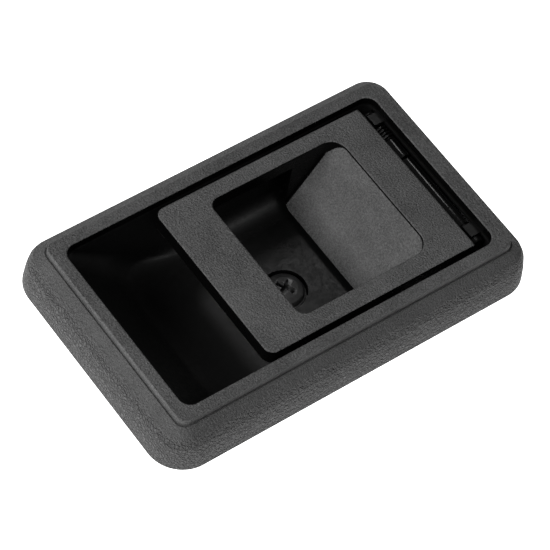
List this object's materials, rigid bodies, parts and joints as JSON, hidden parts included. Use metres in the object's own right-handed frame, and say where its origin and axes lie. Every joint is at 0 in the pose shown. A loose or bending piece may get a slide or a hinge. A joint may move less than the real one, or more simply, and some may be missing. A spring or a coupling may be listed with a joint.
{
  "type": "car door handle",
  "caption": "Inside release handle for a car door: a pull lever with a window and ramp, hinged over a finger bowl in a grained rectangular bezel.",
  "frame": {"origin": "middle of the opening, on the back face of the fixing boss", "axes": "+X along the handle towards the hinge, +Y across it, +Z out of the door trim towards the user"},
  "size_m": [0.1174, 0.0738, 0.0436],
  "materials": {
    "black_plastic": "leather grain on the skirt, fine spark texture on the ring and lever",
    "bowl_plastic": "smooth, satin gloss",
    "steel": "zinc plated",
    "dark_steel": "black oxide",
    "black_nylon": "moulded black nylon",
    "spring_steel": "drawn wire, dark",
    "dark_screw": "black zinc",
    "acetal": "moulded natural acetal",
    "rubber": "matt"
  },
  "bodies": {
    "housing": {"bezel": "black_plastic", "housing": "bowl_plastic", "pivot_pin": "dark_steel", "pin_clip": "dark_steel", "hinge_bush_near": "black_nylon", "hinge_bush_far": "black_nylon", "fixing_screw": "dark_screw", "fixing_washer": "dark_screw", "bezel_screw_1": "dark_screw", "bezel_screw_2": "dark_screw", "bezel_screw_3": "dark_screw", "bezel_screw_4": "dark_screw", "bump_stop_1": "rubber", "bump_stop_2": "rubber"},
    "lever": {"lever": "black_plastic", "return_spring": "spring_steel", "pull_arm": "steel", "arm_rivet_1": "steel", "arm_rivet_2": "steel"},
    "rod_clip": {"rod_clip": "acetal"}
  },
  "joints": [
    {"name": "lever_hinge", "type": "hinge", "parent": "housing", "child": "lever", "pos_m": [0.0466, 0, 0.0225], "axis": [0, 1, 0], "range_deg": [0, 35], "stiffness_Nm_per_rad": 0.12, "springref_deg": -20.05, "deforming": ["return_spring"]},
    {"name": "rod_clip_swivel", "type": "hinge", "parent": "lever", "child": "rod_clip", "pos_m": [0.0426, -0.012, -0.012], "axis": [0, 1, 0], "range_deg": [-40, 5]}
  ]
}
